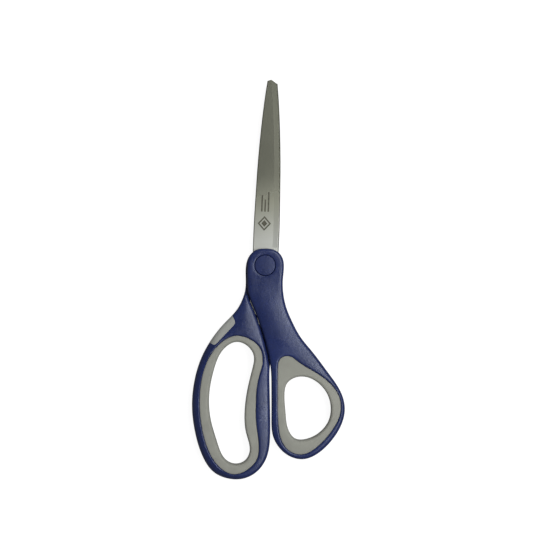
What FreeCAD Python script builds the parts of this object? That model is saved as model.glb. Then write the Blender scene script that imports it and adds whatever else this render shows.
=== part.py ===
import FreeCAD, Part
import math
import os

from FreeCAD import Vector

# Office scissors, about 210 mm long, with two-tone soft-grip handles, lying flat and closed.
#
# Frame: the origin is on the pivot axis at the table plane, where the scissors rest. +Y runs
# towards the blade tips, +X towards the thumb loop, and +Z is up, out of the front face.
# Two halves cross at the pivot. The thumb half carries the front blade and opens by turning
# counter-clockwise about +Z. The finger half carries the rear blade. Below the necks both
# handles fill the full thickness, and near the pivot each one keeps to its own side of the
# plane where the blades ride on each other. All sizes are in millimetres.

# Thickness and levels along Z
RIDE_Z = 6.0             # plane between the two blades
RIDE_GAP = 0.05          # between the blades' inner faces
BLADE_T = 1.7            # blade sheet
NECK_GAP = 0.15          # from the ride plane to each handle's inner face
BOSS_TOP = 11.0          # front face over the pivot
LOOP_TOP = 12.3          # front face at the widest part of the loops
END_TOP = 11.6           # front face at the ends of the loops

# Blades, in a blade frame whose +Y runs along the closed pair
BLADE_LEAN = 2.27        # degrees the closed pair leans towards the thumb side
TIP_Y = 97.8             # pivot to the front blade's tip
REAR_TIP_SHORT = 1.2     # how much shorter the rear blade is ground
EDGE_INSET = 0.8         # how far each cutting edge stays inside the other blade's spine
BEVEL_W = 2.5            # width of the ground bevel
EDGE_LAND = 0.5          # thickness left at the cutting edge
SPINE_CHAMFER = 0.5
TANG_HOLE_R = 1.6

# Pivot hardware
POST_R = 2.25
RUNNING_CLEARANCE = 0.05
FLANGE_AF = 9.0          # across the flats of the post's hexagonal flange
FLANGE_T = 1.0
WASHER_T = 0.3
WASHER_FILM = 0.02       # grease film between the front blade and the thrust washer
WASHER_BORE_R = 2.35
SPRING_SPACE = 0.41      # height left for the spring washer
SPRING_T = 0.22
HEAD_R = 4.3
HEAD_T = 1.25
HEAD_ROUND = 0.4
SOCKET_AF = 2.5
SOCKET_DEPTH = 0.85
THREAD_R = 1.5
SHANK_SHORT = 0.2        # from the screw's end to the back of the rear blade
CAP_R = 5.35
CAP_SEAT_R = 5.6         # bore in the handles, which the cap's snap bead fills
CAP_PLATE = 1.1
CAP_SKIRT = 1.2
CAP_SKIRT_R = 4.75       # inside of the cap's skirt
CAP_LIP = 0.35           # rounding of the cap's edge
CAP_DOME = 0.12
REAR_CAP_SINK = 0.3      # how far the rear cap sits inside the back, clear of the table

# The handles' front surface, as (y, level) from the pivot's end to the loops' ends
FRONT_PROFILE = [
    (-12.0, BOSS_TOP), (-34.0, (BOSS_TOP + LOOP_TOP) / 2 + 0.1), (-70.0, LOOP_TOP),
    (-116.0, END_TOP),
]
END_FALL = 0.03          # its slope at the ends of the loops

# Handles and grips
SEAM_LENGTH = 5.0        # shorter than any rim of a handle
HANDLE_ROUND = 1.7       # rounding of the outer edges
PARTING_GAP = 0.6        # between the two handles where they meet when closed
NECK_END_Y = -15.5       # above this each handle keeps to its own side of the ride plane
GRIP_SINK = 0.7          # how far the grips sit below the handles' faces
GRIP_ROUND = 1.8         # rounding of a grip into its finger hole
GRIP_GAP = 0.04          # moulding allowance between a grip and its handle
RIB_W = 1.3              # rib of the handle that keys into the grip
RIB_T = 2.4

# Closed outlines seen from the front, as points that a smooth closed curve passes through.
THUMB_HANDLE = [
    (0.3, 8.8), (-4.5, 8.1), (-8.2, 5.0), (-9.4, -1.0), (-9.4, -9.0), (-8.7, -15.5),
    (-6.0, -22.5), (-2.2, -32.5), (1.2, -44.5), (2.9, -54.0), (3.3, -65.0), (3.3, -80.0),
    (4.2, -90.0), (8.4, -97.0), (14.3, -101.0), (20.5, -101.9), (27.0, -99.4), (34.2, -93.0),
    (40.0, -84.0), (41.9, -76.0), (40.2, -67.5), (33.5, -57.0), (24.4, -45.0), (18.8, -38.0),
    (14.4, -30.0), (11.1, -22.0), (9.5, -14.0), (9.4, -7.0), (9.9, -1.0), (8.8, 4.6), (5.1, 8.0),
]
FINGER_HANDLE = [
    (-0.3, 8.6), (4.5, 7.9), (8.2, 4.8), (9.2, -1.0), (9.1, -9.0), (8.7, -15.5),
    (7.3, -27.0), (4.6, -42.0), (2.4, -54.5), (2.3, -63.0), (2.6, -77.0), (2.6, -90.0),
    (1.0, -100.5), (-4.0, -108.2), (-11.5, -112.2), (-19.5, -112.3), (-27.0, -109.0),
    (-33.0, -100.5), (-36.8, -88.5), (-38.5, -75.0), (-37.4, -61.5), (-33.4, -48.2),
    (-27.6, -38.0), (-21.0, -30.0), (-15.4, -24.0), (-12.0, -18.0), (-10.4, -12.0),
    (-10.3, -4.0), (-9.9, 1.0), (-8.0, 5.4), (-4.6, 7.9),
]
THUMB_GRIP = [
    (6.6, -55.0), (8.2, -48.8), (12.3, -47.6), (17.0, -50.3), (26.9, -56.5), (35.6, -63.6),
    (39.2, -70.0), (39.5, -77.6), (35.4, -86.4), (27.8, -95.0), (20.0, -99.3), (13.4, -98.0),
    (8.9, -92.8), (6.9, -83.5), (6.6, -69.0),
]
THUMB_HOLE = [
    (10.2, -68.0), (11.6, -62.0), (15.9, -59.0), (21.0, -58.6), (27.2, -61.3), (32.4, -67.2),
    (34.6, -74.6), (33.4, -82.2), (28.8, -88.1), (22.3, -91.5), (15.8, -91.4), (12.2, -86.6),
    (10.8, -78.0),
]
FINGER_GRIP = [
    (-15.6, -37.0), (-8.8, -38.4), (-2.8, -43.3), (-1.3, -50.5), (-3.7, -60.6), (-4.8, -72.0),
    (-4.7, -82.0), (-3.4, -93.0), (-4.2, -101.6), (-9.4, -107.5), (-17.0, -109.8),
    (-24.4, -105.7), (-30.6, -95.3), (-33.8, -82.0), (-34.2, -66.0), (-31.0, -51.8),
    (-24.5, -41.9),
]
FINGER_HOLE = [
    (-14.8, -40.3), (-9.7, -42.1), (-6.0, -47.6), (-6.7, -54.2), (-9.4, -65.5), (-10.8, -77.0),
    (-9.9, -88.5), (-8.1, -97.2), (-10.6, -102.9), (-15.6, -104.7), (-20.4, -102.9),
    (-25.2, -93.8), (-28.9, -80.5), (-29.5, -68.0), (-26.9, -54.6), (-21.8, -44.1),
]

# The slot for the index rest, which runs out past the finger handle's outer edge.
INDEX_REST = [
    (-19.2, -22.0), (-15.8, -29.4), (-15.8, -30.4), (-16.5, -31.6), (-25.6, -41.2),
    (-26.6, -41.9), (-27.5, -41.5), (-34.0, -38.2), (-34.0, -22.0),
]

# The blade's half-width at heights along its frame, from the pivot to the tip.
BLADE_HALF_WIDTH = [
    (0.0, 6.7), (8.0, 6.8), (20.0, 6.85), (35.0, 6.55), (50.0, 6.15), (65.0, 5.45),
    (80.0, 4.4), (90.0, 3.45), (99.0, 2.35),
]
HEEL_Y = 9.5             # where the cutting edge starts
TANG_END_Y = -33.0
TANG_HOLES = [(2.7, -18.5), (4.6, -27.5)]

FRONT_INNER = RIDE_Z + RIDE_GAP / 2
FRONT_OUTER = FRONT_INNER + BLADE_T
REAR_INNER = RIDE_Z - RIDE_GAP / 2
REAR_OUTER = REAR_INNER - BLADE_T
WASHER_Z = FRONT_OUTER + WASHER_FILM
SPRING_Z = WASHER_Z + WASHER_T
HEAD_Z = SPRING_Z + SPRING_SPACE
FAR = 200.0              # larger than the object, for cutting tools
UP = Vector(0, 0, 1)


def closed_spline(points):
    spline = Part.BSplineCurve()
    spline.interpolate(Points=[Vector(x, y, 0) for x, y in points], PeriodicFlag=True)
    return spline


def inset(points, distance):
    """The points of a clockwise outline moved towards its inside, or outside if the distance
    is negative, square to the smooth curve through them."""
    spline = closed_spline(points)
    moved = []
    for x, y in points:
        along, = spline.tangent(spline.parameter(Vector(x, y, 0)))
        moved.append((x + distance * along.y, y - distance * along.x))
    return moved


def closed_curve(points):
    """A face inside a smooth closed curve through the points."""
    return Part.Face(Part.Wire([closed_spline(points).toShape()]))


def open_curve(points):
    """An edge along a smooth curve through the points."""
    curve = Part.BSplineCurve()
    curve.interpolate(Points=[Vector(x, y, 0) for x, y in points])
    return curve.toShape()


def prism(face, low, high):
    """The face, lying in the XY plane, extruded from one level to another."""
    solid = face.extrude(UP * (high - low))
    solid.translate(UP * low)
    return solid


def disc(radius, low, high, x=0.0, y=0.0):
    return Part.makeCylinder(radius, high - low, Vector(x, y, low))


def hexagon(across_flats, low, high):
    radius = across_flats / 2 / math.cos(math.pi / 6)
    corners = [
        Vector(radius * math.cos(k * math.pi / 3), radius * math.sin(k * math.pi / 3), 0)
        for k in range(7)
    ]
    return prism(Part.Face(Part.makePolygon(corners)), low, high)


def revolved(profile):
    """A solid of revolution about the pivot axis, from (radius, level) corners."""
    corners = [Vector(r, 0, z) for r, z in profile + profile[:1]]
    return Part.Face(Part.makePolygon(corners)).revolve(Vector(0, 0, 0), UP, 360)


def edges_at(shape, level, tolerance=0.01):
    """The edges that lie flat at one level."""
    return [
        e for e in shape.Edges
        if abs(e.BoundBox.ZMin - level) < tolerance and abs(e.BoundBox.ZMax - level) < tolerance
    ]


def under_front_surface():
    """Everything under the handles' front surface, which is level over the pivot and then
    rises gently to the loops and falls again to their ends."""
    profile = [Vector(0, y, z) for y, z in FRONT_PROFILE]
    start = profile[0]
    end = profile[-1]
    rise = Part.BSplineCurve()
    rise.interpolate(
        Points=profile, InitialTangent=Vector(0, -1, 0), FinalTangent=Vector(0, -1, -END_FALL),
    )
    corners = [end, Vector(0, end.y, -FAR), Vector(0, FAR, -FAR), Vector(0, FAR, BOSS_TOP), start]
    wire = Part.Wire([rise.toShape()] + Part.makePolygon(corners).Edges)
    solid = Part.Face(wire).extrude(Vector(FAR, 0, 0))
    solid.translate(Vector(-FAR / 2, 0, 0))
    return solid


def rounded_plate(outline):
    """A handle's full outline between the table and the front surface, with rounded edges."""
    plate = prism(closed_curve(outline), 0.0, LOOP_TOP + 1.0).common(under_front_surface())
    solid = plate.Solids[0]
    rims = [e for e in solid.Edges if e.Length > SEAM_LENGTH and not is_upright(e)]
    return solid.makeFillet(HANDLE_ROUND, rims)


def is_upright(edge):
    return edge.BoundBox.ZLength > SEAM_LENGTH


def cutting_edge():
    """The blade's cutting edge in the blade frame, from the heel to beyond the tip."""
    heel = (BLADE_HALF_WIDTH[1][1] - EDGE_INSET, HEEL_Y)
    return open_curve([heel] + [(w - EDGE_INSET, y) for y, w in BLADE_HALF_WIDTH if y > HEEL_Y])


def blade_face():
    """The front blade's outline in the blade frame: spine on the left, edge on the right,
    and a tang that leans towards the thumb loop. It runs on past the tip, which is cut later."""
    spine = [(-w, y) for y, w in BLADE_HALF_WIDTH]
    heel, past_tip = (cutting_edge().Vertexes[k].Point for k in (0, -1))
    tang_left = [spine[0], (-5.6, -7.0), (-3.2, -13.0), (-0.6, -22.0), (1.6, TANG_END_Y)]
    tang_right = [(8.6, TANG_END_Y), (7.4, -22.0), (6.6, -10.0), (6.3, 0.0), (heel.x, heel.y)]
    pieces = [
        open_curve(tang_left),
        open_curve(spine),
        Part.makeLine(Vector(*spine[-1], 0), past_tip),
        cutting_edge(),
        open_curve(tang_right),
        Part.makeLine(Vector(*tang_right[0], 0), Vector(*tang_left[-1], 0)),
    ]
    return Part.Face(Part.Wire(Part.__sortEdges__(pieces)))


def bevel_tool():
    """What the grinding of the bevel takes away: everything beyond a slope that leaves the
    outer face BEVEL_W inside the cutting edge and reaches it EDGE_LAND above the inner face."""
    edge = cutting_edge()
    heel, past_tip = (edge.Vertexes[k].Point for k in (0, -1))
    beyond = [past_tip, Vector(FAR, past_tip.y, 0), Vector(FAR, heel.y, 0), heel]
    face = Part.Face(Part.Wire([edge] + Part.makePolygon(beyond).Edges))
    face.translate(UP * EDGE_LAND)
    slope = Vector(-BEVEL_W, 0, BLADE_T - EDGE_LAND)
    return face.extrude(slope * 1.5)


def tip_tool(tip_y):
    """Trims the tip to a blunt end: short and nearly square at the spine, then a slope."""
    left = Vector(-2.2, tip_y - 0.6, 0)
    crown = Vector(-0.6, tip_y, 0)
    right = Vector(2.2, tip_y - 1.8, 0)
    corners = [Vector(-FAR, left.y, 0), left, crown, right, Vector(FAR, right.y, 0),
               Vector(FAR, FAR, 0), Vector(-FAR, FAR, 0), Vector(-FAR, left.y, 0)]
    return prism(Part.Face(Part.makePolygon(corners)), -1.0, BLADE_T + 1.0)


def blade(tip_y):
    """A blade in the blade frame, inner face down at level 0. Both are the same stamping."""
    solid = prism(blade_face(), 0.0, BLADE_T)
    for x, y in TANG_HOLES:
        solid = solid.cut(disc(TANG_HOLE_R, -1.0, BLADE_T + 1.0, x, y))
    solid = solid.cut(disc(POST_R + RUNNING_CLEARANCE, -1.0, BLADE_T + 1.0))
    solid = solid.cut(tip_tool(tip_y)).cut(bevel_tool()).Solids[0]
    spine = [
        e for e in edges_at(solid, BLADE_T) + edges_at(solid, 0.0)
        if e.Length > 60.0 and e.BoundBox.XMax < 0.0
    ]
    return solid.makeChamfer(SPINE_CHAMFER, spine)


def lean(shape):
    """Turns a shape from the blade frame into the object's frame."""
    shape.rotate(Vector(0, 0, 0), UP, -BLADE_LEAN)
    return shape


def front_blade():
    solid = blade(TIP_Y)
    solid.translate(UP * FRONT_INNER)
    return lean(solid)


def rear_blade():
    """The same stamping turned over about its length, and ground a little shorter."""
    solid = blade(TIP_Y - REAR_TIP_SHORT)
    solid.rotate(Vector(0, 0, 0), Vector(0, 1, 0), 180)
    solid.translate(UP * REAR_INNER)
    return lean(solid)


def space_of(outline, shift, low, high):
    """The room that one handle's outline needs between two levels, with the parting gap on
    the side that faces the other handle, and everything above the necks."""
    face = closed_curve(outline)
    face.translate(Vector(shift, 0, 0))
    above = Part.makeBox(2 * FAR, FAR, high - low, Vector(-FAR, NECK_END_Y, low))
    return prism(face, low, high).fuse(above)


def grip_pocket(outline):
    """The opening for a grip through a handle, all but a rib around its middle."""
    low = RIDE_Z - RIB_T / 2
    middle = prism(closed_curve(inset(outline, RIB_W)), low - 1.0, low + RIB_T + 1.0)
    face = closed_curve(outline)
    return [prism(face, -1.0, low), prism(face, low + RIB_T, FAR), middle]


def rib_groove(outline):
    """The groove around a grip that takes the handle's rib."""
    low = RIDE_Z - RIB_T / 2 - GRIP_GAP
    high = RIDE_Z + RIB_T / 2 + GRIP_GAP
    around = prism(closed_curve(inset(outline, -RIB_W)), low, high)
    return around.cut(prism(closed_curve(inset(outline, RIB_W + GRIP_GAP)), low - 1.0, high + 1.0))


def grip(outline, hole):
    """A soft ring, sunk below both faces of its handle, with rounded edges around the hole."""
    surface = under_front_surface()
    surface.translate(UP * -GRIP_SINK)
    body = prism(closed_curve(inset(outline, GRIP_GAP)), GRIP_SINK, FAR).common(surface)
    ring = body.cut(prism(closed_curve(hole), -1.0, FAR)).Solids[0]
    level_edges = sorted((e for e in ring.Edges if not is_upright(e)), key=lambda e: e.Length)
    return ring.makeFillet(GRIP_ROUND, level_edges[:2]).cut(rib_groove(outline)).Solids[0]


def index_rest_space():
    """The slot in the finger handle's outer edge that holds the index rest."""
    corners = [Vector(x, y, 0) for x, y in INDEX_REST + INDEX_REST[:1]]
    return prism(Part.Face(Part.makePolygon(corners)), -1.0, FAR)


def thumb_handle():
    body = rounded_plate(THUMB_HANDLE)
    body = body.cut(space_of(FINGER_HANDLE, PARTING_GAP, -1.0, RIDE_Z + NECK_GAP))
    for tool in grip_pocket(THUMB_GRIP) + [front_blade(), disc(CAP_SEAT_R, FRONT_OUTER, FAR)]:
        body = body.cut(tool)
    return body.Solids[0]


def finger_handle():
    body = rounded_plate(FINGER_HANDLE)
    body = body.cut(space_of(THUMB_HANDLE, -PARTING_GAP, RIDE_Z - NECK_GAP, FAR))
    pivot_tools = [
        hexagon(FLANGE_AF + 2 * RUNNING_CLEARANCE, 0.0, REAR_OUTER),
        disc(CAP_SEAT_R, -1.0, REAR_CAP_SINK + CAP_PLATE + CAP_SKIRT),
    ]
    for tool in grip_pocket(FINGER_GRIP) + [index_rest_space(), rear_blade()] + pivot_tools:
        body = body.cut(tool)
    return body.Solids[0]


def index_rest():
    return rounded_plate(FINGER_HANDLE).common(index_rest_space()).Solids[0]


def pivot_post():
    """A threaded barrel that both blades turn on, with a flange keyed into the finger handle."""
    flange = hexagon(FLANGE_AF, REAR_OUTER - FLANGE_T, REAR_OUTER)
    barrel = disc(POST_R, REAR_OUTER, HEAD_Z)
    return flange.fuse(barrel).removeSplitter().cut(disc(THREAD_R, REAR_OUTER, HEAD_Z)).Solids[0]


def pivot_screw():
    """Screws into the post. Its head presses the washers onto the front blade."""
    top = HEAD_Z + HEAD_T
    head = disc(HEAD_R, HEAD_Z, top)
    head = head.makeFillet(HEAD_ROUND, edges_at(head, top))
    head = head.cut(hexagon(SOCKET_AF, top - SOCKET_DEPTH, top))
    shank = disc(THREAD_R, REAR_OUTER + SHANK_SHORT, HEAD_Z)
    return head.fuse(shank).Solids[0]


def thrust_washer():
    return disc(HEAD_R, WASHER_Z, SPRING_Z).cut(disc(WASHER_BORE_R, WASHER_Z, SPRING_Z))


def spring_washer():
    """A coned ring: its rim bears on the thrust washer and its bore on the screw's head."""
    rim = HEAD_R - WASHER_FILM
    return revolved([
        (WASHER_BORE_R, HEAD_Z - SPRING_T), (rim, SPRING_Z),
        (rim, SPRING_Z + SPRING_T), (WASHER_BORE_R, HEAD_Z),
    ])


def cap(face_level, inward):
    """A snap-in cap with a shallow dome, its face at one level and its skirt pointing inward."""
    def at(radius, depth):
        return Vector(radius, 0, face_level + inward * depth)

    edge = CAP_R - CAP_LIP
    depth = CAP_PLATE + CAP_SKIRT
    bead = CAP_SEAT_R - CAP_R
    dome = Part.Arc(at(0, -CAP_DOME), at(edge / 2, -CAP_DOME * 0.75), at(edge, 0)).toShape()
    lip = Part.Arc(at(edge, 0), at(CAP_R - CAP_LIP * 0.3, CAP_LIP * 0.3), at(CAP_R, CAP_LIP))
    corners = [
        at(CAP_R, CAP_LIP), at(CAP_R, depth - 3 * bead), at(CAP_SEAT_R, depth - 2 * bead),
        at(CAP_SEAT_R, depth - bead), at(CAP_R, depth), at(CAP_SKIRT_R, depth),
        at(CAP_SKIRT_R, CAP_PLATE), at(0, CAP_PLATE), at(0, -CAP_DOME),
    ]
    profile = Part.Wire([dome, lip.toShape()] + Part.makePolygon(corners).Edges)
    return Part.Face(profile).revolve(Vector(0, 0, 0), UP, 360)


def front_pivot_cap():
    return cap(BOSS_TOP, -1)


def rear_pivot_cap():
    return cap(REAR_CAP_SINK, 1)


def thumb_grip():
    return grip(THUMB_GRIP, THUMB_HOLE)


def finger_grip():
    return grip(FINGER_GRIP, FINGER_HOLE)


PARTS = [
    front_blade, rear_blade, thumb_handle, finger_handle, thumb_grip, finger_grip, index_rest,
    pivot_post, pivot_screw, thrust_washer, spring_washer, front_pivot_cap, rear_pivot_cap,
]

if __name__ == "__main__":
    os.makedirs("parts", exist_ok=True)
    for make in PARTS:
        make().exportStep(f"parts/{make.__name__}.step")
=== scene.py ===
import math

import bmesh
import bpy
import numpy as np
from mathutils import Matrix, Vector
from mathutils.geometry import delaunay_2d_cdt


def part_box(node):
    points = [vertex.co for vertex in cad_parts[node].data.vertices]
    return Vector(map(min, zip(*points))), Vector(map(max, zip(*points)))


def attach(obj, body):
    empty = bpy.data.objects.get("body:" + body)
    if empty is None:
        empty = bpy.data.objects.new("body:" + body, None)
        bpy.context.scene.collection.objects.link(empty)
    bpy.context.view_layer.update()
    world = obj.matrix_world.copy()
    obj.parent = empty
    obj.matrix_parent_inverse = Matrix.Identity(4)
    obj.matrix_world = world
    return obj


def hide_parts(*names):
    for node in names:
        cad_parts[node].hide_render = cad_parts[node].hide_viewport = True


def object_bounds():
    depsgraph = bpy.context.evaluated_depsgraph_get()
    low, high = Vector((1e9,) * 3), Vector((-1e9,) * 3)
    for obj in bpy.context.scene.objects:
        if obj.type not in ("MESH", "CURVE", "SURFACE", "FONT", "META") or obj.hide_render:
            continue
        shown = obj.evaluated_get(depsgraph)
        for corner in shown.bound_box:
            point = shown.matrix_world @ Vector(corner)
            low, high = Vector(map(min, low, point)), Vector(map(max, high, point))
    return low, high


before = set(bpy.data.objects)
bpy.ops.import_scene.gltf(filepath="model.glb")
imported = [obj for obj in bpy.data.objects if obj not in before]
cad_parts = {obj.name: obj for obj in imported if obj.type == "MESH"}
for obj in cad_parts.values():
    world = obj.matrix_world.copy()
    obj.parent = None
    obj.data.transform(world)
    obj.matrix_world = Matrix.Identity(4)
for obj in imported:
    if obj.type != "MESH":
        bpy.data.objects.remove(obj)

# Office scissors with two-tone handles. The blades, caps and pivot hardware are the CAD nodes.
# The handles, grips and index rest are rebuilt here as moulded shapes with crowned faces.
# Outlines and levels are in millimetres in the CAD frame; meshes are written in metres.

CAD_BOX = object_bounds()
MM = 0.001

# Levels and gaps, as in the CAD model
SPLIT_Z = 6.0            # plane between the two halves
NECK_GAP = 0.15          # from that plane to each handle's inner face
BOSS_TOP = 11.0          # front face over the pivot, at the loops and at the far ends
LOOP_TOP = 12.3
END_TOP = 11.6
RISE_Y = (-10.0, -58.0)  # where the front face rises from the pivot to the loops
FALL_Y = (-70.0, -116.0)
NECK_END_Y = -15.5       # above this each handle lies on its own side of the split only
PARTING_GAP = 0.6        # between the handles, side by side
GRIP_SINK = 0.75         # how far the grips sit below the handles' faces
GRIP_GAP = 0.04          # between the grips and the handles round them
CAP_BORE_R = 5.6

# Crown: the faces fall away towards the handles' edges, but not over the pivot
CROWN_WIDTH = 9.0
CROWN_HEIGHT = 0.8
CROWN_Y = (-6.0, -24.0)

# Width and height of the rounding along each line
HANDLE_RIM = (1.6, 1.5)
POCKET_RIM = (1.0, 0.68)
PARTING_RIM = (1.4, 1.2)
BORE_RIM = (0.3, 0.25)
SLOT_RIM = (0.25, 0.2)
REST_RIM = (0.3, 0.25)
GRIP_SIDE_RIM = (0.5, 0.3)
GRIP_HOLE_RIM = (1.4, 1.9)
FULLER_RIM = 2.6         # extra width and height on the finger loop's outer side
FULLER_X = (-7.0, -24.0) # where that builds up
FULLER_Y = (-30.0, -46.0)

# Spacing of mesh points along the lines and on the faces between them
OUTLINE_STEP = 0.7
BORE_STEP = 0.5
NECK_STEP = 1.0
FACE_STEP = 1.5
GRIP_STEP = 1.2
REST_STEP = 1.0
SPLINE_STEPS = 60        # between one outline point and the next
RIM_CLEARANCE = 0.45     # share of the spacing that face points keep from a rim
CLOSE = 0.02             # guide points nearer than this to each other or to a line are left out
WELD = 0.0001            # points nearer than this are one in the flat triangulation
DOUBLED = 0.002          # and in the finished mesh
SLIVER = 0.0005          # shortest edge that is kept
SHARP = math.radians(38)
BEYOND = 60.0            # outside every outline

THUMB_HANDLE = [
    (0.3, 8.8), (-4.5, 8.1), (-8.2, 5.0), (-9.4, -1.0), (-9.4, -9.0), (-8.7, -15.5),
    (-6.0, -22.5), (-2.2, -32.5), (1.2, -44.5), (2.9, -54.0), (3.3, -65.0), (3.3, -80.0),
    (4.2, -90.0), (8.4, -97.0), (14.3, -101.0), (20.5, -101.9), (27.0, -99.4), (34.2, -93.0),
    (40.0, -84.0), (41.9, -76.0), (40.2, -67.5), (33.5, -57.0), (24.4, -45.0), (18.8, -38.0),
    (14.4, -30.0), (11.1, -22.0), (9.5, -14.0), (9.4, -7.0), (9.9, -1.0), (8.8, 4.6), (5.1, 8.0),
]
FINGER_HANDLE = [
    (-0.3, 8.6), (4.5, 7.9), (8.2, 4.8), (9.2, -1.0), (9.1, -9.0), (8.7, -15.5),
    (7.3, -27.0), (4.6, -42.0), (2.4, -54.5), (2.3, -63.0), (2.6, -77.0), (2.6, -90.0),
    (1.0, -100.5), (-4.0, -108.2), (-11.5, -112.2), (-19.5, -112.3), (-27.0, -109.0),
    (-33.0, -100.5), (-36.8, -88.5), (-38.5, -75.0), (-37.4, -61.5), (-33.4, -48.2),
    (-27.6, -38.0), (-21.0, -30.0), (-15.4, -24.0), (-12.0, -18.0), (-10.4, -12.0),
    (-10.3, -4.0), (-9.9, 1.0), (-8.0, 5.4), (-4.6, 7.9),
]
THUMB_GRIP = [
    (6.6, -55.0), (8.2, -48.8), (12.3, -47.6), (17.0, -50.3), (26.9, -56.5), (35.6, -63.6),
    (39.2, -70.0), (39.5, -77.6), (35.4, -86.4), (27.8, -95.0), (20.0, -99.3), (13.4, -98.0),
    (8.9, -92.8), (6.9, -83.5), (6.6, -69.0),
]
THUMB_HOLE = [
    (10.2, -68.0), (11.6, -62.0), (15.9, -59.0), (21.0, -58.6), (27.2, -61.3), (32.4, -67.2),
    (34.6, -74.6), (33.4, -82.2), (28.8, -88.1), (22.3, -91.5), (15.8, -91.4), (12.2, -86.6),
    (10.8, -78.0),
]
FINGER_GRIP = [
    (-15.6, -37.0), (-8.8, -38.4), (-2.8, -43.3), (-1.3, -50.5), (-3.7, -60.6), (-4.8, -72.0),
    (-4.7, -82.0), (-3.4, -93.0), (-4.2, -101.6), (-9.4, -107.5), (-17.0, -109.8),
    (-24.4, -105.7), (-30.6, -95.3), (-33.8, -82.0), (-34.2, -66.0), (-31.0, -51.8),
    (-24.5, -41.9),
]
FINGER_HOLE = [
    (-14.8, -40.3), (-9.7, -42.1), (-6.0, -47.6), (-6.7, -54.2), (-9.4, -65.5), (-10.8, -77.0),
    (-9.9, -88.5), (-8.1, -97.2), (-10.6, -102.9), (-15.6, -104.7), (-20.4, -102.9),
    (-25.2, -93.8), (-28.9, -80.5), (-29.5, -68.0), (-26.9, -54.6), (-21.8, -44.1),
]
INDEX_REST = [
    (-19.2, -22.0), (-15.8, -29.4), (-15.8, -30.4), (-16.5, -31.6), (-25.6, -41.2),
    (-26.6, -41.9), (-27.5, -41.5), (-34.0, -38.2), (-34.0, -22.0),
]


# ---------------------------------------------------------------- plane curves

def smooth_loop(points):
    """Evenly spaced points, anticlockwise, on the closed cubic spline through the points."""
    p = np.array(points, float)
    step = np.roll(p, -1, axis=0) - p
    h = np.linalg.norm(step, axis=1)
    slope = step / h[:, None]
    n = len(p)
    a = np.zeros((n, n))
    for i in range(n):
        a[i, i - 1] += 1 / h[i - 1]
        a[i, i] += 2 * (1 / h[i - 1] + 1 / h[i])
        a[i, (i + 1) % n] += 1 / h[i]
    right = 3 * (np.roll(slope, 1, axis=0) / np.roll(h, 1)[:, None] + slope / h[:, None])
    tangent = np.linalg.solve(a, right)
    t = np.linspace(0, 1, SPLINE_STEPS, endpoint=False)[:, None]
    fine = np.concatenate([
        (2 * t**3 - 3 * t**2 + 1) * p[i] + (t**3 - 2 * t**2 + t) * h[i] * tangent[i]
        + (3 * t**2 - 2 * t**3) * p[(i + 1) % n] + (t**3 - t**2) * h[i] * tangent[(i + 1) % n]
        for i in range(n)
    ])
    return anticlockwise(evenly(fine, OUTLINE_STEP))


def evenly(polygon, spacing):
    """The closed polygon with its points spread evenly along it."""
    closed = np.vstack([polygon, polygon[:1]])
    length = np.concatenate([[0], np.cumsum(np.linalg.norm(np.diff(closed, axis=0), axis=1))])
    count = max(8, round(length[-1] / spacing))
    at = np.linspace(0, length[-1], count, endpoint=False)
    return np.column_stack([np.interp(at, length, closed[:, k]) for k in (0, 1)])


def anticlockwise(polygon):
    x, y = polygon.T
    area = np.sum(x * np.roll(y, -1) - y * np.roll(x, -1))
    return polygon if area > 0 else polygon[::-1]


def circle(radius, spacing):
    count = round(2 * math.pi * radius / spacing)
    angle = np.linspace(0, 2 * math.pi, count, endpoint=False)
    return radius * np.column_stack([np.cos(angle), np.sin(angle)])


def offset(loop, distance):
    """An anticlockwise loop moved square to itself, inwards if the distance is positive."""
    along = np.roll(loop, -1, axis=0) - np.roll(loop, 1, axis=0)
    along /= np.linalg.norm(along, axis=1)[:, None]
    return loop + distance * np.column_stack([-along[:, 1], along[:, 0]])


def inside(points, polygon):
    """Which points lie inside the polygon."""
    x, y = points.T
    result = np.zeros(len(points), bool)
    for (x0, y0), (x1, y1) in zip(polygon, np.roll(polygon, -1, axis=0)):
        if y0 != y1:
            crosses = (y0 > y) != (y1 > y)
            result ^= crosses & (x < (x1 - x0) * (y - y0) / (y1 - y0) + x0)
    return result


def distance_to(points, polygon):
    """Each point's distance to the closed polygon's line."""
    step = np.roll(polygon, -1, axis=0) - polygon
    square = np.sum(step**2, axis=1)
    nearest = np.empty(len(points))
    batch = 1500
    for low in range(0, len(points), batch):
        part = points[low:low + batch, None, :] - polygon
        along = np.clip(np.sum(part * step, axis=2) / square, 0, 1)
        gap = part - along[:, :, None] * step
        nearest[low:low + batch] = np.sqrt(np.min(np.sum(gap**2, axis=2), axis=1))
    return nearest


def smoothstep(low, high, value):
    """0 at and beyond low, 1 at and beyond high, and smooth in between."""
    t = np.clip((value - low) / (high - low), 0, 1)
    return t * t * (3 - 2 * t)


# ---------------------------------------------------------------- moulded shapes

def front_level(xy):
    """Height of the handles' front surface: level over the pivot, fuller at the loops."""
    y = xy[:, 1]
    rise = smoothstep(*RISE_Y, y)
    fall = smoothstep(*FALL_Y, y)
    return BOSS_TOP + (LOOP_TOP - BOSS_TOP) * rise + (END_TOP - LOOP_TOP) * fall


def crown(xy, edges):
    """How far a handle's face has fallen away near the edges given; none over the pivot."""
    near = np.min([distance_to(xy, edge) for edge in edges], axis=0)
    inward = np.clip(1 - near / CROWN_WIDTH, 0, 1)
    return CROWN_HEIGHT * smoothstep(*CROWN_Y, xy[:, 1]) * inward**2


def crowned_front(*edges):
    return lambda xy: front_level(xy) - crown(xy, edges)


def crowned_back(*edges):
    return lambda xy: crown(xy, edges)


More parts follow.
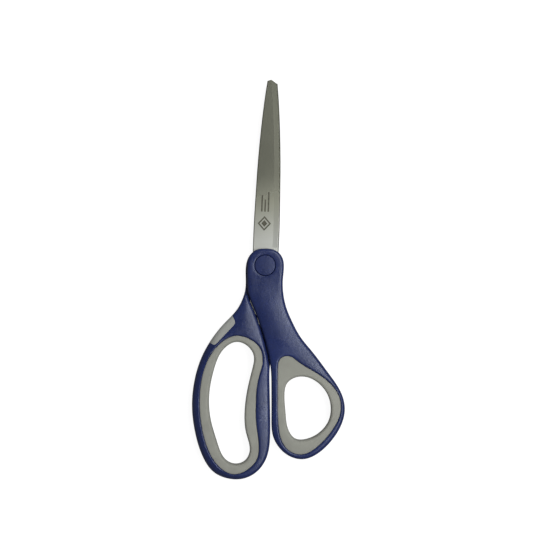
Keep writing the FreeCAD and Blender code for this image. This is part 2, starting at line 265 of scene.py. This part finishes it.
class Rim:
    """A closed line along which a surface rounds off, over a width and down a height. Both
    may be numbers or functions of the points."""

    def __init__(self, loop, width, height, steps=8):
        self.loop = loop
        self.width = width if callable(width) else lambda xy: np.full(len(xy), width)
        self.height = height if callable(height) else lambda xy: np.full(len(xy), height)
        self.steps = steps

    def drop(self, xy):
        width = self.width(xy)
        t = np.clip(1 - distance_to(xy, self.loop) / width, 0, 1)
        return self.height(xy) * (1 - np.sqrt(1 - t**2))

    def guide_points(self):
        """Rows of points on both sides of the line, closer together where it is steeper."""
        width = self.width(self.loop)[:, None]
        unit = offset(self.loop, 1.0) - self.loop
        rows = []
        for k in range(1, self.steps + 1):
            away = width * (1 - math.cos(k * math.pi / 2 / self.steps))
            rows += [self.loop + away * unit, self.loop - away * unit]
        return np.vstack(rows)


class Layer:
    """The part of a moulding on one side of the plane between the halves."""

    def __init__(self, outline, cuts, rims, face, split):
        self.outline = outline
        self.cuts = cuts
        self.rims = rims
        self.face = face
        self.split = split

    def holds(self, xy):
        """Which points lie in the layer, seen from above."""
        held = inside(xy, self.outline)
        for cut in self.cuts:
            held &= ~cut(xy)
        return held

    def surface(self, xy, sign):
        """Height of the layer's outer face; sign is 1 for the front and -1 for the back."""
        drop = np.max([rim.drop(xy) for rim in self.rims], axis=0)
        return self.face(xy) - sign * drop


def cut_inside(loop):
    return lambda xy: inside(xy, loop)


def cut_above(level):
    return lambda xy: xy[:, 1] > level


def moulding(name, front, back, lines, spacing=FACE_STEP):
    """A closed mesh from a front and a back layer that share one plane triangulation. lines
    are the closed loops that bound either layer; spacing is that of the points between the
    rims."""
    rims = list(dict.fromkeys(front.rims + back.rims))
    corners, edges = [], []
    for line in lines:
        base = len(corners)
        corners += line.tolist()
        edges += [(base + k, base + (k + 1) % len(line)) for k in range(len(line))]
    guide = np.vstack([rim.guide_points() for rim in rims])
    guide = guide[front.holds(guide) | back.holds(guide)]
    near = np.min([distance_to(guide, line) for line in lines], axis=0)
    guide = thin_out(guide[near > CLOSE])
    grid = hexagonal_grid(front.outline, spacing)
    grid = grid[front.holds(grid) | back.holds(grid)]
    clear = np.min([distance_to(grid, rim.loop) - rim.width(grid) for rim in rims], axis=0)
    grid = grid[clear > spacing * RIM_CLEARANCE]
    points = [Vector(p) for p in corners + guide.tolist() + grid.tolist()]
    flat, _, faces, _, _, _ = delaunay_2d_cdt(points, edges, [], 0, WELD)
    xy = np.array([tuple(v) for v in flat])
    tris = np.array([face for face in faces if len(face) == 3])
    turn = np.cross(xy[tris[:, 1]] - xy[tris[:, 0]], xy[tris[:, 2]] - xy[tris[:, 0]])
    tris[turn < 0] = tris[turn < 0][:, ::-1]
    centre = xy[tris].mean(axis=1)
    mesh = layered_mesh(name, xy, tris, front.holds(centre), back.holds(centre), front, back)
    return new_object(name, mesh)


def thin_out(points):
    """Leaves one of any guide points that all but coincide."""
    cell = np.round(points / CLOSE).astype(int)
    _, first = np.unique(cell, axis=0, return_index=True)
    return points[np.sort(first)]


def hexagonal_grid(outline, spacing):
    low, high = outline.min(axis=0), outline.max(axis=0)
    rows = np.arange(low[1], high[1], spacing * math.sqrt(0.75))
    grid = []
    for k, y in enumerate(rows):
        x = np.arange(low[0] + (k % 2) * spacing / 2, high[0], spacing)
        grid.append(np.column_stack([x, np.full(len(x), y)]))
    return np.vstack(grid)


def layered_mesh(name, xy, tris, in_front, in_back, front, back):
    """Joins the layers' faces with upright walls along every edge where a layer ends."""
    top = np.maximum(front.surface(xy, 1.0), front.split)
    bottom = np.minimum(back.surface(xy, -1.0), back.split)
    count = len(xy)
    levels = [top, np.full(count, front.split), np.full(count, back.split), bottom]
    verts = np.vstack([np.column_stack([xy, z]) for z in levels])
    outer_front, inner_front, inner_back, outer_back = (k * count for k in range(4))
    faces = []
    for (a, b, c), to_front, to_back in zip(tris.tolist(), in_front, in_back):
        if to_front:
            faces.append((outer_front + a, outer_front + b, outer_front + c))
        if to_back:
            faces.append((outer_back + c, outer_back + b, outer_back + a))
        if to_front and not to_back:
            faces.append((inner_front + c, inner_front + b, inner_front + a))
        if to_back and not to_front:
            faces.append((inner_back + a, inner_back + b, inner_back + c))
    for held, high, low in ((in_front, outer_front, inner_front),
                            (in_back, inner_back, outer_back)):
        directed = {(t[i], t[(i + 1) % 3]) for t in tris[held].tolist() for i in range(3)}
        for a, b in directed:
            if (b, a) not in directed:
                faces.append((low + a, low + b, high + b, high + a))
    used = sorted({v for face in faces for v in face})
    index = {v: k for k, v in enumerate(used)}
    mesh = bpy.data.meshes.new(name)
    mesh.from_pydata([tuple(verts[v] * MM) for v in used], [],
                     [tuple(index[v] for v in face) for face in faces])
    return mesh


def new_object(name, mesh):
    """An object from the mesh, with doubled points merged and its true edges kept sharp."""
    bm = bmesh.new()
    bm.from_mesh(mesh)
    bmesh.ops.remove_doubles(bm, verts=bm.verts, dist=DOUBLED * MM)
    bmesh.ops.dissolve_degenerate(bm, edges=bm.edges, dist=SLIVER * MM)
    bmesh.ops.recalc_face_normals(bm, faces=bm.faces)
    for face in bm.faces:
        face.smooth = True
    bm.to_mesh(mesh)
    bm.free()
    mesh.set_sharp_from_angle(angle=SHARP)
    obj = bpy.data.objects.new(name, mesh)
    bpy.context.scene.collection.objects.link(obj)
    return obj


# ---------------------------------------------------------------- the mouldings

thumb_outline = smooth_loop(THUMB_HANDLE)
finger_outline = smooth_loop(FINGER_HANDLE)
thumb_pocket = smooth_loop(THUMB_GRIP)
finger_pocket = smooth_loop(FINGER_GRIP)
thumb_hole = smooth_loop(THUMB_HOLE)
finger_hole = smooth_loop(FINGER_HOLE)
rest_slot = anticlockwise(evenly(np.array(INDEX_REST), OUTLINE_STEP))
cap_bore = circle(CAP_BORE_R, BORE_STEP)
neck_corners = [
    (-BEYOND, NECK_END_Y), (BEYOND, NECK_END_Y), (BEYOND, BEYOND), (-BEYOND, BEYOND),
]
neck_line = evenly(np.array(neck_corners), NECK_STEP)
thumb_relief = finger_outline + (PARTING_GAP, 0)
finger_relief = thumb_outline - (PARTING_GAP, 0)
thumb_front = crowned_front(thumb_outline)
thumb_back = crowned_back(thumb_outline, thumb_relief)
finger_front = crowned_front(finger_outline, finger_relief)
finger_back = crowned_back(finger_outline)


def fuller_rim(xy):
    """The finger loop's outer side is rounded far more than the side by the thumb handle."""
    x, y = xy.T
    return FULLER_RIM * smoothstep(*FULLER_X, x) * smoothstep(*FULLER_Y, y)


def finger_rim_width(xy):
    return HANDLE_RIM[0] + fuller_rim(xy)


def finger_rim_height(xy):
    return HANDLE_RIM[1] + fuller_rim(xy)


def thumb_handle():
    outer = Rim(thumb_outline, *HANDLE_RIM)
    pocket = Rim(thumb_pocket, *POCKET_RIM, steps=4)
    bore = Rim(cap_bore, *BORE_RIM, steps=3)
    parting = Rim(thumb_relief, *PARTING_RIM, steps=6)
    front = Layer(thumb_outline, [cut_inside(thumb_pocket), cut_inside(cap_bore)],
                  [outer, pocket, bore], thumb_front, SPLIT_Z + NECK_GAP)
    back = Layer(thumb_outline,
                 [cut_inside(thumb_pocket), cut_inside(thumb_relief), cut_above(NECK_END_Y)],
                 [outer, pocket, parting], thumb_back, SPLIT_Z + NECK_GAP)
    return moulding("thumb_handle_shell", front, back,
                    [thumb_outline, thumb_pocket, cap_bore, thumb_relief, neck_line])


def finger_handle():
    outer = Rim(finger_outline, finger_rim_width, finger_rim_height)
    pocket = Rim(finger_pocket, *POCKET_RIM, steps=4)
    bore = Rim(cap_bore, *BORE_RIM, steps=3)
    slot = Rim(rest_slot, *SLOT_RIM, steps=3)
    parting = Rim(finger_relief, *PARTING_RIM, steps=6)
    shared = [cut_inside(finger_pocket), cut_inside(rest_slot)]
    front = Layer(finger_outline, shared + [cut_inside(finger_relief), cut_above(NECK_END_Y)],
                  [outer, pocket, slot, parting], finger_front, SPLIT_Z - NECK_GAP)
    back = Layer(finger_outline, shared + [cut_inside(cap_bore)],
                 [outer, pocket, slot, bore], finger_back, SPLIT_Z - NECK_GAP)
    return moulding("finger_handle_shell", front, back,
                    [finger_outline, finger_pocket, cap_bore, finger_relief, neck_line,
                     rest_slot])


def index_rest():
    outer = Rim(finger_outline, finger_rim_width, finger_rim_height)
    slot = Rim(rest_slot, *REST_RIM, steps=3)
    outside = [lambda xy: ~inside(xy, rest_slot), cut_inside(finger_pocket)]
    front = Layer(finger_outline, outside, [outer, slot], finger_front, SPLIT_Z)
    back = Layer(finger_outline, outside, [outer, slot], finger_back, SPLIT_Z)
    return moulding("index_rest_pad", front, back, [finger_outline, rest_slot], REST_STEP)


def grip(name, pocket, hole, front_face, back_face):
    """A soft ring: nearly flat beside the handle and rounded right over into the hole."""
    outline = offset(pocket, GRIP_GAP)
    beside = Rim(outline, *GRIP_SIDE_RIM, steps=3)
    into_hole = Rim(hole, *GRIP_HOLE_RIM)
    cuts = [cut_inside(hole)]
    rims = [beside, into_hole]
    front = Layer(outline, cuts, rims, lambda xy: front_face(xy) - GRIP_SINK, SPLIT_Z)
    back = Layer(outline, cuts, rims, lambda xy: back_face(xy) + GRIP_SINK, SPLIT_Z)
    return moulding(name, front, back, [outline, hole], GRIP_STEP)


# ---------------------------------------------------------------- materials

def new_material(name, colour, roughness, metallic=0.0):
    """A node material and its principled shader."""
    material = bpy.data.materials.new(name)
    material.use_nodes = True
    shader = material.node_tree.nodes["Principled BSDF"]
    shader.inputs["Base Color"].default_value = (*colour, 1.0)
    shader.inputs["Roughness"].default_value = roughness
    shader.inputs["Metallic"].default_value = metallic
    return material, shader


def add(material, kind, **values):
    """A node with its inputs or settings set by name."""
    node = material.node_tree.nodes.new(kind)
    for key, value in values.items():
        if key in node.inputs:
            node.inputs[key].default_value = value
        else:
            setattr(node, key, value)
    return node


def link(material, source, target):
    """Joins two sockets in a material's nodes, or in a world's."""
    material.node_tree.links.new(source, target)


def object_coordinates(material, stretch=(1, 1, 1), turn=0.0):
    """Object coordinates in metres, turned about Z and then stretched along their axes."""
    coordinates = add(material, "ShaderNodeTexCoord")
    turned = add(material, "ShaderNodeVectorRotate", rotation_type="Z_AXIS", Angle=turn)
    mapping = add(material, "ShaderNodeMapping", Scale=stretch)
    link(material, coordinates.outputs["Object"], turned.inputs["Vector"])
    link(material, turned.outputs["Vector"], mapping.inputs["Vector"])
    return mapping.outputs["Vector"]


def noise(material, vector, scale, detail=2.0, roughness=0.5):
    """Noise from 0 to 1 with scale features per unit of the vector."""
    node = add(material, "ShaderNodeTexNoise", Scale=scale, Detail=detail, Roughness=roughness)
    link(material, vector, node.inputs["Vector"])
    return node.outputs["Fac"]


def ramp(material, value, stops):
    """A colour ramp through (position, colour) stops."""
    node = add(material, "ShaderNodeValToRGB")
    elements = node.color_ramp.elements
    while len(elements) < len(stops):
        elements.new(0.5)
    for element, (position, colour) in zip(elements, stops):
        element.position = position
        element.color = (*colour, 1.0)
    link(material, value, node.inputs["Fac"])
    return node.outputs["Color"]


def colour_input(mix, name):
    """A mix node has an input of each type under one name; this is the colour one."""
    return next(i for i in mix.inputs if i.name == name and i.type == "RGBA")


def colour_output(mix):
    return next(o for o in mix.outputs if o.type == "RGBA")


def grey(value):
    return (value, value, value)


def scaled(colour, factor):
    return tuple(min(1.0, c * factor) for c in colour)


def multiplied(material, first, second):
    """The product of two colours."""
    mix = add(material, "ShaderNodeMix", data_type="RGBA", blend_type="MULTIPLY")
    mix.inputs["Factor"].default_value = 1.0
    link(material, first, colour_input(mix, "A"))
    link(material, second, colour_input(mix, "B"))
    return colour_output(mix)


def plus(material, first, second, share):
    """The first value and a share of the second."""
    node = add(material, "ShaderNodeMath", operation="MULTIPLY_ADD")
    link(material, second, node.inputs[0])
    node.inputs[1].default_value = share
    link(material, first, node.inputs[2])
    return node.outputs[0]


def bump(material, shader, height, strength, distance):
    node = add(material, "ShaderNodeBump", Strength=strength, Distance=distance)
    link(material, height, node.inputs["Height"])
    link(material, node.outputs["Normal"], shader.inputs["Normal"])


def moulded_plastic(name, colour, roughness):
    """Injection-moulded plastic: fine spark-eroded grain, faint flow marks and handling."""
    material, shader = new_material(name, colour, roughness)
    shader.inputs["Specular Tint"].default_value = SKY_TINT
    vector = object_coordinates(material)
    cloudy = noise(material, vector, scale=60.0, detail=3.0)
    tone = ramp(material, cloudy, [(0.3, scaled(colour, 0.86)), (0.7, scaled(colour, 1.16))])
    speckle = noise(material, vector, scale=1500.0, roughness=0.7)
    pale = ramp(material, speckle, [(0.35, grey(0.80)), (0.6, grey(1.0)), (0.72, grey(1.5))])
    link(material, multiplied(material, tone, pale), shader.inputs["Base Color"])
    handled = noise(material, vector, scale=110.0, detail=4.0, roughness=0.6)
    gloss = ramp(material, handled, [(0.3, grey(roughness - 0.06)), (0.75, grey(roughness + 0.1))])
    link(material, gloss, shader.inputs["Roughness"])
    grain = noise(material, vector, scale=1700.0, roughness=0.65)
    ripple = noise(material, vector, scale=420.0)
    relief = plus(material, grain, ripple, share=0.6)
    bump(material, shader, relief, strength=0.65, distance=0.00009)
    return material


def soft_rubber(name, colour, roughness):
    """Matt thermoplastic rubber: a velvety surface with slight mottling and rubbed spots."""
    material, shader = new_material(name, colour, roughness)
    shader.inputs["Sheen Weight"].default_value = 0.12
    shader.inputs["Sheen Roughness"].default_value = 0.5
    shader.inputs["Specular IOR Level"].default_value = 0.35
    vector = object_coordinates(material)
    mottled = noise(material, vector, scale=90.0, detail=4.0, roughness=0.55)
    tone = ramp(material, mottled, [(0.32, scaled(colour, 0.91)), (0.7, scaled(colour, 1.08))])
    link(material, tone, shader.inputs["Base Color"])
    rubbed = noise(material, vector, scale=45.0, detail=3.0)
    gloss = ramp(material, rubbed, [(0.35, grey(roughness - 0.08)), (0.7, grey(roughness + 0.08))])
    link(material, gloss, shader.inputs["Roughness"])
    fine = noise(material, vector, scale=1800.0, detail=3.0, roughness=0.65)
    pebble = noise(material, vector, scale=650.0)
    relief = plus(material, fine, pebble, share=0.8)
    bump(material, shader, relief, strength=0.4, distance=0.00008)
    return material


def along_blade(material):
    """0 at the handle's end of the bare blade and 1 at its tip."""
    split = add(material, "ShaderNodeSeparateXYZ")
    link(material, object_coordinates(material), split.inputs[0])
    along = add(material, "ShaderNodeMapRange")
    along.inputs["From Min"].default_value, along.inputs["From Max"].default_value = BARE_BLADE
    link(material, split.outputs["Y"], along.inputs["Value"])
    return along.outputs["Result"]


def ground_steel(name, colour, painted_sheen_by_handle, roughness, lean):
    """Stainless sheet ground across the blade, so its scratches run at right angles to it. A
    painted reflection makes its colour lighter close to the handle, and it is less polished there."""
    material, shader = new_material(name, colour, roughness, metallic=1.0)
    scratched = object_coordinates(material, SCRATCH_STRETCH, lean)
    scratches = noise(material, scratched, scale=1.0, detail=4.0, roughness=0.7)
    broad = noise(material, object_coordinates(material), scale=35.0, detail=3.0)
    along = along_blade(material)
    # Painted reflection: the colour is lighter towards the handle, in place of the brighter
    # reflection the blade shows there.
    tone = ramp(material, along, [(0.05, painted_sheen_by_handle), (0.28, scaled(colour, 1.4)), (0.43, colour)])
    streaks = ramp(material, scratches, [(0.25, grey(0.94)), (0.75, grey(1.0))])
    link(material, multiplied(material, tone, streaks), shader.inputs["Base Color"])
    gloss = ramp(material, broad, [(0.3, grey(roughness - 0.01)), (0.7, grey(roughness + 0.01))])
    coarser = ramp(material, along, [(0.0, grey(0.08)), (0.43, grey(0.0))])
    link(material, plus(material, gloss, coarser, share=1.0), shader.inputs["Roughness"])
    bump(material, shader, scratches, strength=0.05, distance=0.00002)
    return material


def turned_steel(name, colour, roughness):
    """Turned and plated pivot parts, with rings round the pivot axis."""
    material, shader = new_material(name, colour, roughness, metallic=1.0)
    rings = add(material, "ShaderNodeTexWave", wave_type="RINGS", rings_direction="Z",
                Scale=1800.0, Distortion=1.5, Detail=2.0)
    link(material, object_coordinates(material), rings.inputs["Vector"])
    tone = ramp(material, rings.outputs["Fac"], [(0.0, scaled(colour, 0.9)), (1.0, colour)])
    link(material, tone, shader.inputs["Base Color"])
    bump(material, shader, rings.outputs["Fac"], strength=0.2, distance=0.00001)
    return material


NAVY = (0.0140, 0.0245, 0.1055)
GRIP_GREY = (0.325, 0.330, 0.290)
REST_GREY = (0.360, 0.370, 0.348)
STEEL = (0.300, 0.306, 0.245)
# Painted reflection: a lighter steel colour near the handle, in place of the brighter reflection
# there.
PAINTED_SHEEN_STEEL_BY_HANDLE = (0.585, 0.597, 0.555)
PIVOT_STEEL = (0.6, 0.6, 0.59)
SPRING_STEEL = (0.35, 0.35, 0.36)
NYLON = (0.72, 0.71, 0.66)
OXIDE = (0.085, 0.083, 0.062)
SKY_TINT = (0.84, 0.90, 1.0, 1.0)
LEAN = math.radians(2.27)                # of the closed blades from the Y axis
BARE_BLADE = (0.008, 0.100)              # from the handle to past the tip, along Y in metres
SCRATCH_STRETCH = (60.0, 4200.0, 60.0)   # scratches per metre across, along and through it

plastic = moulded_plastic("navy_plastic", NAVY, roughness=0.30)
rubber = soft_rubber("grey_grip_rubber", GRIP_GREY, roughness=0.72)
rest_rubber = soft_rubber("index_rest_rubber", REST_GREY, roughness=0.66)
blade_steel = ground_steel("ground_blade_steel", STEEL, PAINTED_SHEEN_STEEL_BY_HANDLE, 0.25, LEAN)
pivot_steel = turned_steel("turned_pivot_steel", PIVOT_STEEL, roughness=0.3)
spring_steel = turned_steel("spring_steel", SPRING_STEEL, roughness=0.42)
nylon = soft_rubber("natural_nylon", NYLON, roughness=0.5)


def coat(obj, material):
    obj.data.materials.clear()
    obj.data.materials.append(material)


NODE_MATERIALS = {
    "front_blade": blade_steel, "rear_blade": blade_steel,
    "front_pivot_cap": plastic, "rear_pivot_cap": plastic,
    "pivot_post": pivot_steel, "pivot_screw": pivot_steel,
    "spring_washer": spring_steel, "thrust_washer": nylon,
}
for node, material in NODE_MATERIALS.items():
    for material_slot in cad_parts[node].material_slots:
        material_slot.material = material


def install(obj, body, node, material):
    """Puts a rebuilt piece on its body in place of the CAD node of the same part."""
    coat(obj, material)
    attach(obj, body)
    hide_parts(node)


install(thumb_handle(), "thumb_half", "thumb_handle", plastic)
install(finger_handle(), "finger_half", "finger_handle", plastic)
install(index_rest(), "finger_half", "index_rest", rest_rubber)
install(grip("thumb_grip_pad", thumb_pocket, thumb_hole, thumb_front, thumb_back),
        "thumb_half", "thumb_grip", rubber)
install(grip("finger_grip_pad", finger_pocket, finger_hole, finger_front, finger_back),
        "finger_half", "finger_grip", rubber)


# ---------------------------------------------------------------- etched mark

MARK_CENTRE = (-1.3, 22.0)
MARK_OUTSIDE = (3.5, 3.9)    # half widths and half heights of the lozenges
MARK_HOLE = (2.5, 2.8)
MARK_CORE = (1.6, 1.8)
BARS_RIGHT = 0.9
BARS_START = 28.2
BAR_LENGTHS = (10.4, 6.4, 8.7)
BAR_PITCH = 1.7
BAR_WIDTH = 0.8
ETCH_LIFT = 0.000004         # metres, clear of the blade's face
ETCH_HEIGHT = 0.000012


def ring_of_verts(bm, corners, z):
    """Vertices at the given corners, in millimetres in the blade's own leaning frame."""
    turn = complex(math.cos(LEAN), -math.sin(LEAN))
    spots = [complex(x, y) * turn for x, y in corners]
    return [bm.verts.new((spot.real * MM, spot.imag * MM, z)) for spot in spots]


def band(bm, first, second):
    """Quads that join two rings of as many vertices."""
    for k in range(len(first)):
        n = (k + 1) % len(first)
        bm.faces.new((first[k], first[n], second[n], second[k]))


def etched_plate(bm, corners, base):
    """A shallow plate with the given corners."""
    low = ring_of_verts(bm, corners, base)
    high = ring_of_verts(bm, corners, base + ETCH_HEIGHT)
    bm.faces.new(low[::-1])
    bm.faces.new(high)
    band(bm, low, high)


def etched_ring(bm, outer, inner, base):
    """A shallow plate with a hole in it, whose edge has as many corners as the outside."""
    rings = [ring_of_verts(bm, corners, z) for corners, z in (
        (outer, base), (outer, base + ETCH_HEIGHT), (inner, base + ETCH_HEIGHT), (inner, base))]
    for first, second in zip(rings, rings[1:] + rings[:1]):
        band(bm, first, second)


def lozenge(half_width, half_height):
    x, y = MARK_CENTRE
    return [(x + half_width, y), (x, y + half_height), (x - half_width, y), (x, y - half_height)]


def etched_mark():
    """A generic etched mark: a hollow lozenge with a solid one in it, and plain bars above."""
    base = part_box("front_blade")[1][2] + ETCH_LIFT
    bm = bmesh.new()
    etched_ring(bm, lozenge(*MARK_OUTSIDE), lozenge(*MARK_HOLE), base)
    etched_plate(bm, lozenge(*MARK_CORE), base)
    for row, length in enumerate(BAR_LENGTHS):
        right = BARS_RIGHT - BAR_PITCH * row
        left = right - BAR_WIDTH
        top = BARS_START + length
        etched_plate(bm, [(right, BARS_START), (right, top), (left, top), (left, BARS_START)],
                     base)
    bmesh.ops.recalc_face_normals(bm, faces=bm.faces)
    mesh = bpy.data.meshes.new("etched_mark")
    bm.to_mesh(mesh)
    bm.free()
    mark = bpy.data.objects.new("etched_mark", mesh)
    bpy.context.scene.collection.objects.link(mark)
    return mark


def etched_oxide(name, colour):
    """The dark, matt oxide of an electro-etched mark, thinner in places."""
    material, shader = new_material(name, colour, roughness=0.6, metallic=0.6)
    vector = object_coordinates(material)
    patchy = noise(material, vector, scale=900.0, detail=3.0, roughness=0.6)
    tone = ramp(material, patchy, [(0.3, scaled(colour, 0.8)), (0.7, scaled(colour, 1.5))])
    link(material, tone, shader.inputs["Base Color"])
    return material


mark = etched_mark()
coat(mark, etched_oxide("etched_oxide", OXIDE))
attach(mark, "thumb_half")


# ---------------------------------------------------------------- studio

ROOM_LIGHT = [(0.0, grey(0.27)), (0.45, grey(0.24)), (0.8, grey(0.13)), (1.0, grey(0.12))]
FLOOR_GREY = 0.22
FLOOR_REACH = 3.0
FLOOR_GAP = 0.2 * MM             # from the floor up to the object
SOFTBOXES = {                    # where each hangs, the length of its side and its power
    "key": ((0.30, 0.0, 0.74), 0.3, 2.0),
    "back_fill": ((0.25, 0.36, 0.66), 0.3, 1.9),
    "fill": ((0.306, -0.257, 0.69), 0.3, 1.0),
    "bevel_light": ((0.46, 0.12, 0.50), 0.25, 0.11),
}
AIM_POINT = (0.0, -0.02, 0.0)
PICTURE_WIDTH = 0.28875          # metres across the picture at the level of the pivot's top
PICTURE_CENTRE = (0.0052, -0.0051)
LENS = 150.0
SENSOR = 36.0


def seen_or_lighting(material_or_world, seen, lighting):
    """Shows one shader to the camera and another to the light that reaches the object."""
    tree = material_or_world.node_tree
    path = tree.nodes.new("ShaderNodeLightPath")
    mix = tree.nodes.new("ShaderNodeMixShader")
    tree.links.new(path.outputs["Is Camera Ray"], mix.inputs["Fac"])
    tree.links.new(lighting.outputs[0], mix.inputs[1])
    tree.links.new(seen.outputs[0], mix.inputs[2])
    output = next(n for n in tree.nodes if n.type in ("OUTPUT_MATERIAL", "OUTPUT_WORLD"))
    tree.links.new(mix.outputs[0], output.inputs["Surface"])


def studio_world():
    """A dim room that is darkest overhead, seen by the camera as a white backdrop."""
    world = bpy.data.worlds.new("studio")
    world.use_nodes = True
    room = world.node_tree.nodes["Background"]
    coordinates = add(world, "ShaderNodeTexCoord")
    split = add(world, "ShaderNodeSeparateXYZ")
    link(world, coordinates.outputs["Generated"], split.inputs[0])
    link(world, ramp(world, split.outputs["Z"], ROOM_LIGHT), room.inputs["Color"])
    backdrop = add(world, "ShaderNodeBackground", Color=(1, 1, 1, 1), Strength=1.0)
    seen_or_lighting(world, backdrop, room)
    bpy.context.scene.world = world


def paler_outwards(material):
    """Full white far from the object, a little less close to it so that a soft shadow shows."""
    away = add(material, "ShaderNodeVectorMath", operation="LENGTH")
    link(material, object_coordinates(material), away.inputs[0])
    return ramp(material, away.outputs["Value"], [(0.2, grey(0.94)), (0.7, grey(1.0))])


def studio_floor():
    """White to the camera, with a soft shadow; a matt mid grey to the light it throws back."""
    mesh = bpy.data.meshes.new("floor")
    signs = [(-1, -1), (1, -1), (1, 1), (-1, 1)]
    corners = [(x * FLOOR_REACH, y * FLOOR_REACH, 0) for x, y in signs]
    mesh.from_pydata(corners, [], [(0, 1, 2, 3)])
    floor = bpy.data.objects.new("floor", mesh)
    floor.location.z = CAD_BOX[0][2] - FLOOR_GAP
    material, matt = new_material("pale_floor", grey(FLOOR_GREY), roughness=0.9)
    matt.inputs["Specular IOR Level"].default_value = 0.0
    glow = add(material, "ShaderNodeEmission")
    link(material, paler_outwards(material), glow.inputs["Strength"])
    pale = add(material, "ShaderNodeAddShader")
    link(material, glow.outputs[0], pale.inputs[0])
    link(material, matt.outputs[0], pale.inputs[1])
    seen_or_lighting(material, pale, matt)
    mesh.materials.append(material)
    bpy.context.scene.collection.objects.link(floor)


def softbox(name, location, size, power):
    """A square area light turned towards the middle of the object."""
    light = bpy.data.lights.new(name, "AREA")
    light.size = size
    light.energy = power
    obj = bpy.data.objects.new(name, light)
    obj.location = location
    aim = Vector(AIM_POINT) - Vector(location)
    obj.rotation_euler = aim.to_track_quat("-Z", "Y").to_euler()
    bpy.context.scene.collection.objects.link(obj)


def photo_camera():
    """Straight down, with the blades pointing up the picture."""
    camera = bpy.data.cameras.new("camera")
    camera.lens = LENS
    camera.sensor_width = SENSOR
    view = bpy.data.objects.new("camera", camera)
    view.location = (*PICTURE_CENTRE, PICTURE_WIDTH * LENS / SENSOR + BOSS_TOP * MM)
    bpy.context.scene.collection.objects.link(view)
    bpy.context.scene.camera = view


studio_world()
studio_floor()
for name, (location, size, power) in SOFTBOXES.items():
    softbox(name, location, size, power)
photo_camera()
bpy.context.scene.view_settings.view_transform = "Standard"
